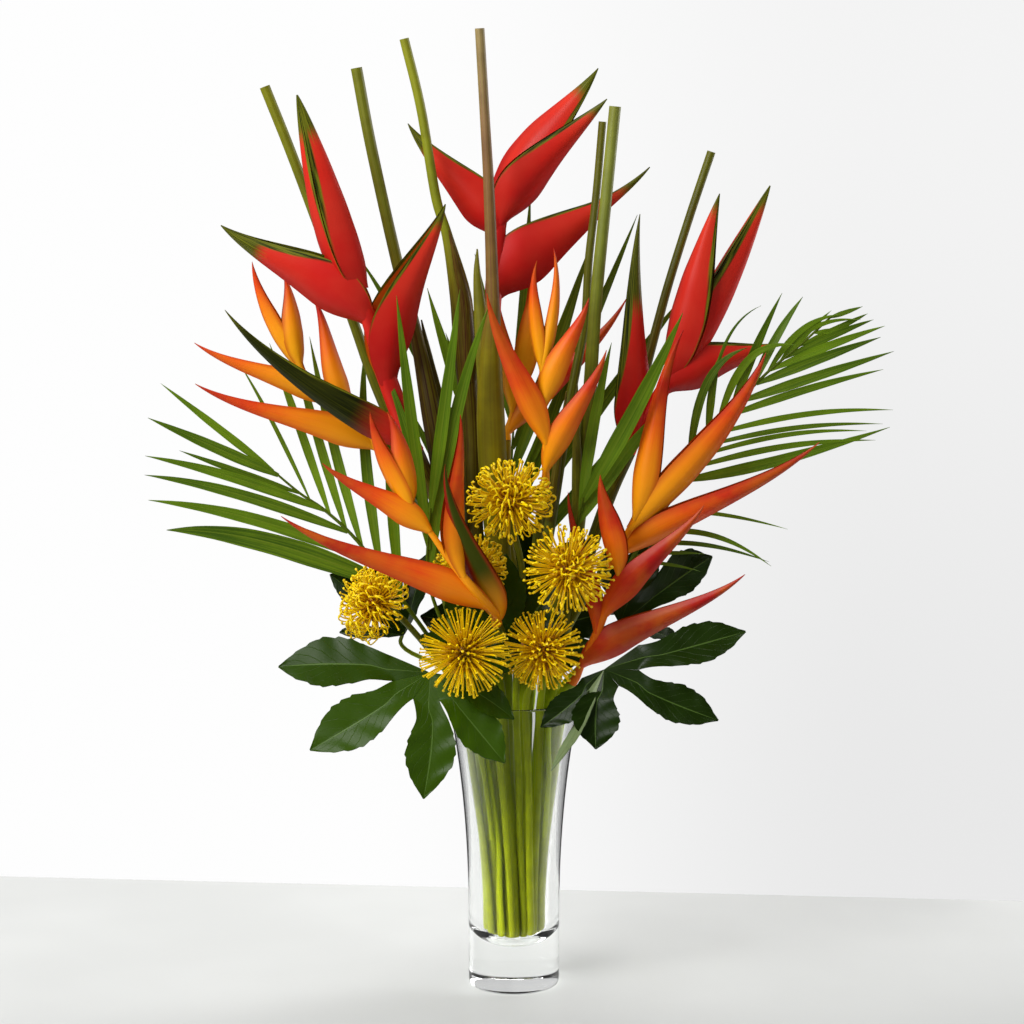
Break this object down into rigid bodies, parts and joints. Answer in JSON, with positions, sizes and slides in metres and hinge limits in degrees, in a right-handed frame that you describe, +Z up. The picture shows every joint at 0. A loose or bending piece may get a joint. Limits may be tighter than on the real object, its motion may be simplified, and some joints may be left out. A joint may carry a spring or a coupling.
{
  "type": "heliconia flower arrangement in a glass vase",
  "caption": "Tall tropical arrangement: red and orange claw-shaped heliconias, yellow pincushions, palm fronds and palmate leaves in a flared clear glass vase.",
  "frame": {"origin": "centre of the vase's flat foot, on the surface it stands on", "axes": "+Z up along the vase's axis, -Y towards the front of the arrangement, +X to its right seen from the front"},
  "size_m": [0.7477, 0.3693, 0.9643],
  "materials": {
    "glass": "clear, polished",
    "stalk": "fresh green, waxy",
    "red_bract": "waxy, red with green edges",
    "orange_bract": "waxy, orange turning red at the tips",
    "pincushion": "glossy yellow",
    "palm": "satin green",
    "leaf": "glossy dark green"
  },
  "bodies": {
    "root": {"glass_vase": "glass", "leaf_back": "leaf", "leaf_back_left": "leaf", "leaf_back_right": "leaf", "leaf_left": "leaf", "leaf_right": "leaf", "orange_behind_bloom": "orange_bract", "orange_behind_stalk": "stalk", "orange_front_bloom": "orange_bract", "orange_front_stalk": "stalk", "orange_left_bloom": "orange_bract", "orange_left_stalk": "stalk", "orange_low_bloom": "orange_bract", "orange_low_stalk": "stalk", "orange_middle_bloom": "orange_bract", "orange_middle_stalk": "stalk", "orange_right_bloom": "orange_bract", "orange_right_stalk": "stalk", "palm_back": "palm", "palm_front_left": "palm", "palm_front_right": "palm", "palm_left": "palm", "palm_right": "palm", "pincushion_1_head": "pincushion", "pincushion_1_stem": "stalk", "pincushion_2_head": "pincushion", "pincushion_2_stem": "stalk", "pincushion_3_head": "pincushion", "pincushion_3_stem": "stalk", "pincushion_4_head": "pincushion", "pincushion_4_stem": "stalk", "pincushion_5_head": "pincushion", "pincushion_5_stem": "stalk", "pincushion_6_head": "pincushion", "pincushion_6_stem": "stalk", "red_left_bloom": "red_bract", "red_left_stalk": "stalk", "red_middle_bloom": "red_bract", "red_middle_stalk": "stalk", "red_right_bloom": "red_bract", "red_right_stalk": "stalk"}
  },
  "joints": []
}
